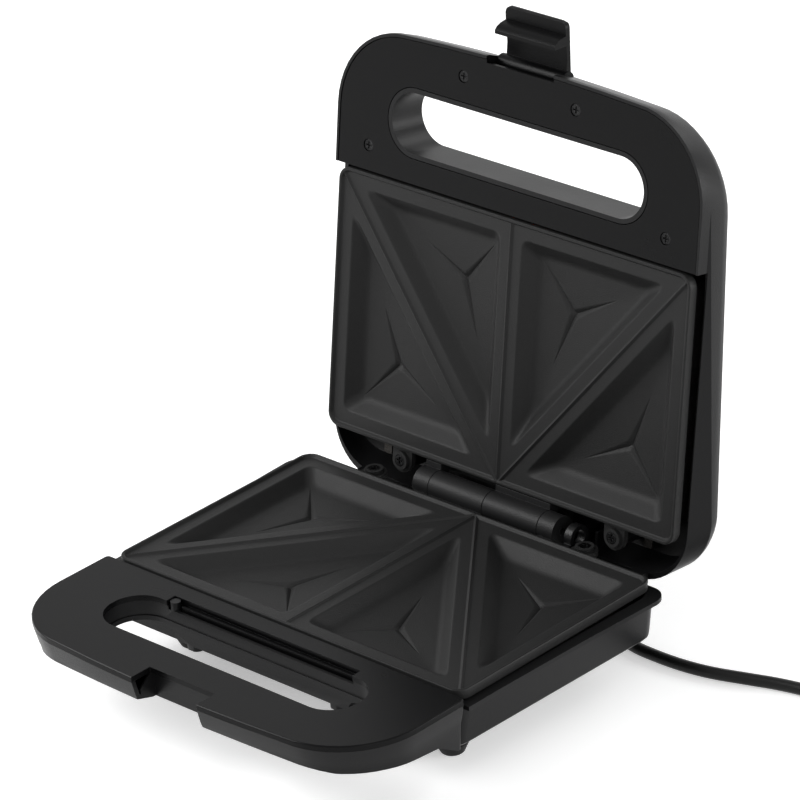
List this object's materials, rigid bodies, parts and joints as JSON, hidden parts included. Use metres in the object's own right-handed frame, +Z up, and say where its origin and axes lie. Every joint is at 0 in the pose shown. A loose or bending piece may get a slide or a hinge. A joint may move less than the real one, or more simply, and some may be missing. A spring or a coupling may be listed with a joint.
{
  "type": "sandwich toaster",
  "caption": "Countertop sandwich toaster with a hinged lid standing open, ribbed non-stick plates with triangular pockets, slotted handles, a swinging latch and a mains cord.",
  "frame": {"origin": "bottom centre of the body's box without the cord: on the table under the middle of the opened toaster", "axes": "+X along the hinge to the right as seen from the handles, +Y from the handles towards the hinge, +Z up"},
  "size_m": [0.3703, 0.3582, 0.2691],
  "materials": {
    "body": "black, satin, fine moulded grain",
    "panel": "black, smooth matt",
    "hinge": "black, satin",
    "latch": "black, fine grain",
    "coating": "dark grey non-stick coating on cast aluminium",
    "screw": "dark zinc",
    "rod": "heat-toned sheath",
    "sheet": "plain sheet",
    "ceramic": "glazed ceramic",
    "pin": "plain",
    "foot": "black, matt",
    "cord": "black flexible cord sheath",
    "plug": "black moulded plug",
    "contact": "nickel",
    "lens": "translucent",
    "neon": "clear envelope"
  },
  "bodies": {
    "base": {"base_housing": "body", "base_handle_cover": "panel", "cover_screws": "screw", "slot_rail": "panel", "bottom_cover": "body", "bottom_screws": "screw", "feet": "foot", "lower_plate": "coating", "lower_plate_screws": "screw", "lower_rod": "rod", "lower_reflector": "sheet", "thermostat": "ceramic", "thermal_fuse": "ceramic", "terminal_block": "ceramic", "base_hinge_leaf": "hinge", "hinge_pin": "pin", "wire_bush": "hinge", "strain_relief": "cord", "mains_cord": "cord", "cord_coil": "cord", "plug_lead": "cord", "plug_body": "plug", "plug_pins": "contact"},
    "lid": {"lid_shell": "body", "lid_handle_panel": "panel", "lid_panel_screws": "screw", "upper_plate": "coating", "upper_plate_screws": "screw", "upper_rod": "rod", "upper_reflector": "sheet", "lid_hinge_leaf": "hinge", "lamp_lenses": "lens", "neon_lamps": "neon", "latch_pin": "pin"},
    "latch": {"latch": "latch"}
  },
  "joints": [
    {"name": "lid_hinge", "type": "hinge", "parent": "base", "child": "lid", "pos_m": [0, 0.07732, 0.0454], "axis": [1, 0, 0], "range_deg": [0, 100]},
    {"name": "latch_swing", "type": "hinge", "parent": "lid", "child": "latch", "pos_m": [0, 0.12437, 0.24252], "axis": [1, 0, 0], "range_deg": [0, 83]}
  ]
}
